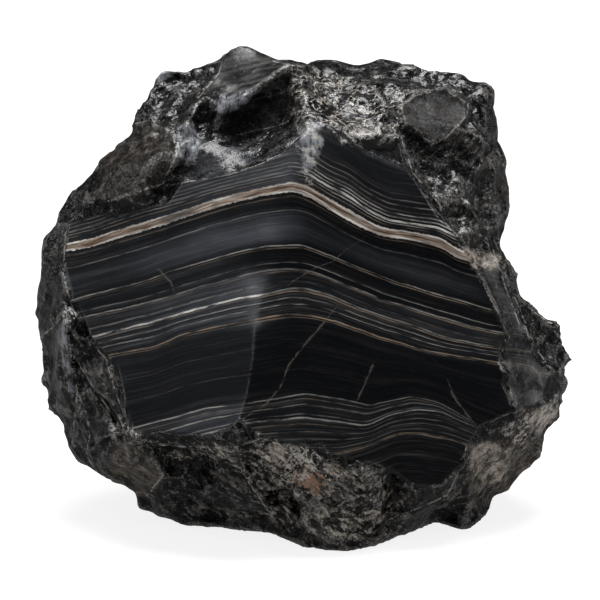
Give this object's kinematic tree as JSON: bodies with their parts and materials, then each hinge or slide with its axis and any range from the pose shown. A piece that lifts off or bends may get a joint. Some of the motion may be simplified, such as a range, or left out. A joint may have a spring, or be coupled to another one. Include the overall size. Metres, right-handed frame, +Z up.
{
  "type": "rough banded stone",
  "caption": "Rough broken chunk of near-black banded onyx with two glossy faces meeting at a crest and chipped ground around them, standing on a flat.",
  "frame": {"origin": "middle of the stone's bounding box, at the level of the flat it stands on", "axes": "+Z up out of the flat, +X along the longest extent, -Y the side of the two banded faces"},
  "size_m": [0.1052, 0.0804, 0.087],
  "materials": {
    "onyx": "glossy where it broke clean, matt and crumbled elsewhere"
  },
  "bodies": {
    "root": {"onyx_stone": "onyx"}
  },
  "joints": []
}
